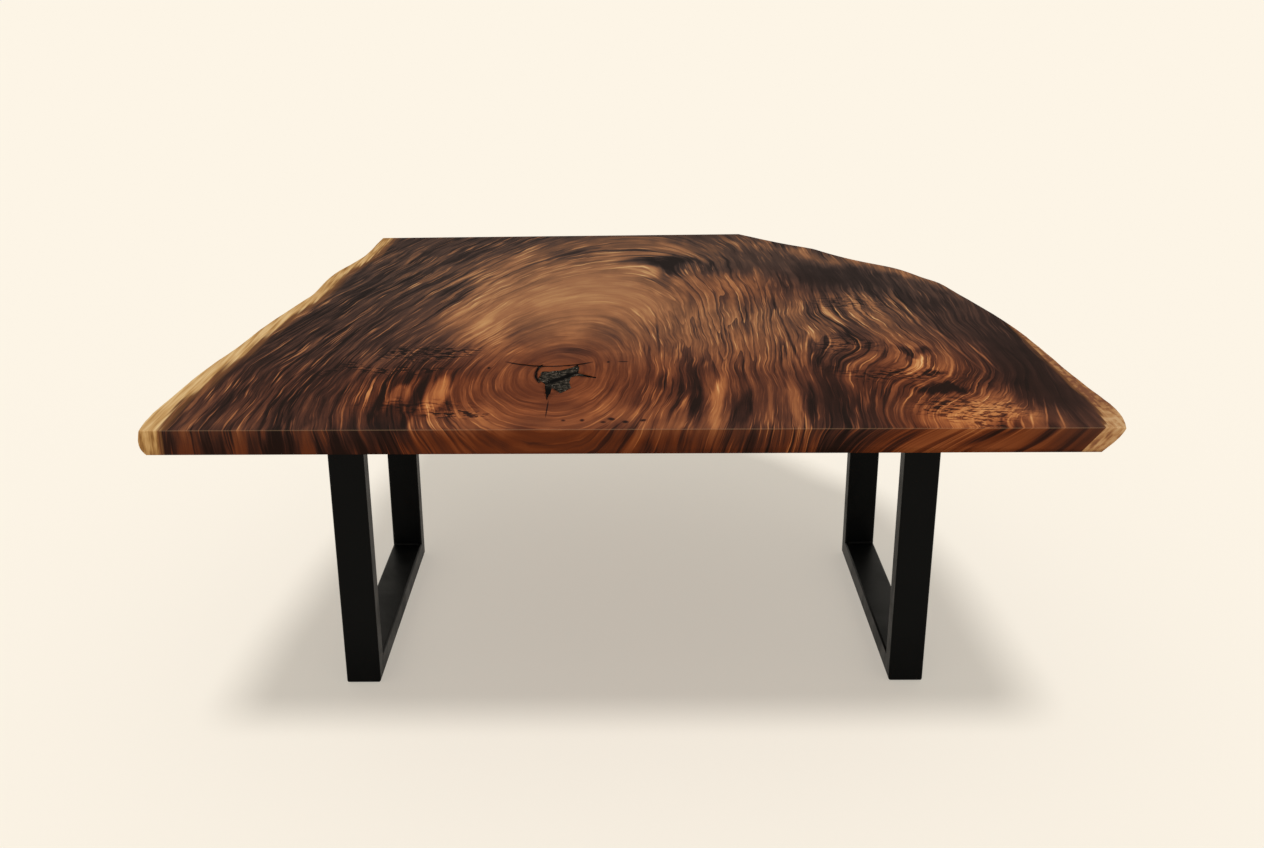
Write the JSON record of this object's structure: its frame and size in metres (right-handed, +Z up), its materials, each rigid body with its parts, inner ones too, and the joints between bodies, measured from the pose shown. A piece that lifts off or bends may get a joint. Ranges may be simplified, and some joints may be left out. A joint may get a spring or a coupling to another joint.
{
  "type": "live edge slab table",
  "caption": "Wide natural-edge hardwood slab with a resin-filled knot, on welded U legs of black rectangular steel tube, for dining or meetings.",
  "frame": {"origin": "on the floor, under the middle of the slab's bounding box", "axes": "+Z up, +X to the table's right seen from the front, -Y out of the straight front saw cut"},
  "size_m": [1.7246, 1.664, 0.75],
  "materials": {
    "figured_wood": "oiled satin, dark figured heartwood with pale sapwood at the live edges",
    "knot_resin": "polished dark resin",
    "black_powder_coat": "satin black powder coat",
    "zinc_plate": "zinc plated",
    "insert_brass": "plain machined brass",
    "pad_rubber": "matt black rubber"
  },
  "bodies": {
    "root": {"slab_top": "figured_wood", "knot_resin_fill": "knot_resin", "left_leg_front_upright": "black_powder_coat", "left_leg_rear_upright": "black_powder_coat", "left_leg_floor_rail": "black_powder_coat", "left_leg_mounting_plate": "black_powder_coat", "left_leg_weld_beads": "black_powder_coat", "right_leg_front_upright": "black_powder_coat", "right_leg_rear_upright": "black_powder_coat", "right_leg_floor_rail": "black_powder_coat", "right_leg_mounting_plate": "black_powder_coat", "right_leg_weld_beads": "black_powder_coat", "front_stiffening_channel": "black_powder_coat", "rear_stiffening_channel": "black_powder_coat", "left_leg_bolts": "zinc_plate", "left_leg_washers": "zinc_plate", "right_leg_bolts": "zinc_plate", "right_leg_washers": "zinc_plate", "channel_bolts": "zinc_plate", "channel_washers": "zinc_plate", "left_leg_threaded_inserts": "insert_brass", "right_leg_threaded_inserts": "insert_brass", "channel_threaded_inserts": "insert_brass", "left_front_floor_pad": "pad_rubber", "left_rear_floor_pad": "pad_rubber", "right_front_floor_pad": "pad_rubber", "right_rear_floor_pad": "pad_rubber"}
  },
  "joints": []
}
